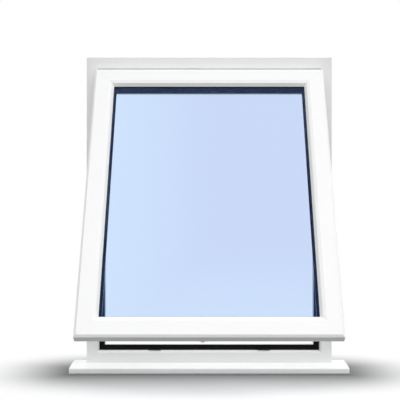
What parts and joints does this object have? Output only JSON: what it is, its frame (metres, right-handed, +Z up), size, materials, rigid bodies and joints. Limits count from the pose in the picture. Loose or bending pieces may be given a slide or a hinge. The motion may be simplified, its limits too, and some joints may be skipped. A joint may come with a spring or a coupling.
{
  "type": "upvc window",
  "caption": "White top-hung casement window on a projecting cill, with its double-glazed sash standing open on a pair of steel stays.",
  "frame": {"origin": "midway along the cill's flat underside, in the plane of the outer frame's outside face", "axes": "+X to the right seen from outside, +Y through the wall into the room, +Z up"},
  "size_m": [1, 0.6384, 1.145],
  "materials": {
    "frame_upvc": "smooth white extruded uPVC, low gloss",
    "sash_upvc": "smooth white extruded uPVC, low gloss",
    "cill_upvc": "smooth white extruded uPVC, low gloss",
    "cill_cap_plastic": "moulded white cap, glossy",
    "seal_rubber": "black EPDM, matt",
    "spacer_bar": "black warm-edge spacer, matt",
    "outer_glass": "clear float glass with a faint blue tint",
    "inner_glass": "coated float glass with a faint blue tint",
    "handle_white": "powder-coated white, gloss",
    "stay_steel": "pressed stainless steel, satin",
    "rivet_steel": "turned stainless steel",
    "stay_nylon": "moulded dark nylon, matt",
    "lock_steel": "zinc-plated steel, dull silver",
    "cam_steel": "turned steel, plated"
  },
  "bodies": {
    "root": {"bottom_glazing_bead": "sash_upvc", "cill": "cill_upvc", "cill_left_end_cap": "cill_cap_plastic", "cill_right_end_cap": "cill_cap_plastic", "frame_bottom_rail": "frame_upvc", "frame_head": "frame_upvc", "frame_left_jamb": "frame_upvc", "frame_right_jamb": "frame_upvc", "frame_seal": "seal_rubber", "glass_spacer_bar": "spacer_bar", "handle_base": "handle_white", "handle_lever": "handle_white", "inner_glass_pane": "inner_glass", "inner_glazing_gasket": "seal_rubber", "left_glazing_bead": "sash_upvc", "left_lock_keep": "lock_steel", "left_stay_end_cap": "stay_nylon", "left_stay_long_arm": "stay_steel", "left_stay_rivets": "rivet_steel", "left_stay_sash_bar": "stay_steel", "left_stay_short_arm": "stay_steel", "left_stay_track": "stay_steel", "lock_cams": "cam_steel", "lock_plate": "lock_steel", "outer_glass_pane": "outer_glass", "outer_glazing_gasket": "seal_rubber", "right_glazing_bead": "sash_upvc", "right_lock_keep": "lock_steel", "right_stay_end_cap": "stay_nylon", "right_stay_long_arm": "stay_steel", "right_stay_rivets": "rivet_steel", "right_stay_sash_bar": "stay_steel", "right_stay_short_arm": "stay_steel", "right_stay_track": "stay_steel", "sash_bottom_rail": "sash_upvc", "sash_left_stile": "sash_upvc", "sash_right_stile": "sash_upvc", "sash_seal": "seal_rubber", "sash_top_rail": "sash_upvc", "top_glazing_bead": "sash_upvc"}
  },
  "joints": []
}
